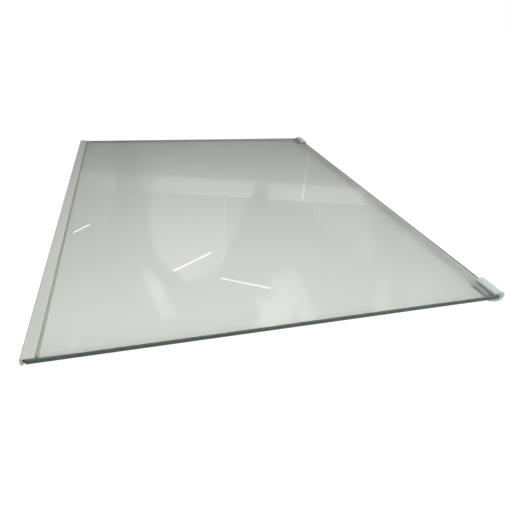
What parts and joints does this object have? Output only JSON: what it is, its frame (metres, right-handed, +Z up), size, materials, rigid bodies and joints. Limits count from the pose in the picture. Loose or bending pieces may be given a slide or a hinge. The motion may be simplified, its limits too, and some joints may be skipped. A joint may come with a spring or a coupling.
{
  "type": "fridge glass shelf",
  "caption": "Flat clear toughened-glass shelf for a refrigerator, with a white push-on trim along the front edge and white moulded clips on the rear corners.",
  "frame": {"origin": "under the middle of the shelf, level with the underside of the rear clips", "axes": "+X along the shelf's width, +Y towards the rear clips, +Z up out of the glass"},
  "size_m": [0.475, 0.3666, 0.009],
  "materials": {
    "toughened_glass": "clear float glass, polished faces, edges ground round",
    "trim_plastic": "white extruded plastic, satin",
    "clip_plastic": "white moulded plastic, satin"
  },
  "bodies": {
    "root": {"glass_pane": "toughened_glass", "front_trim": "trim_plastic", "rear_clip_left": "clip_plastic", "rear_clip_right": "clip_plastic"}
  },
  "joints": []
}
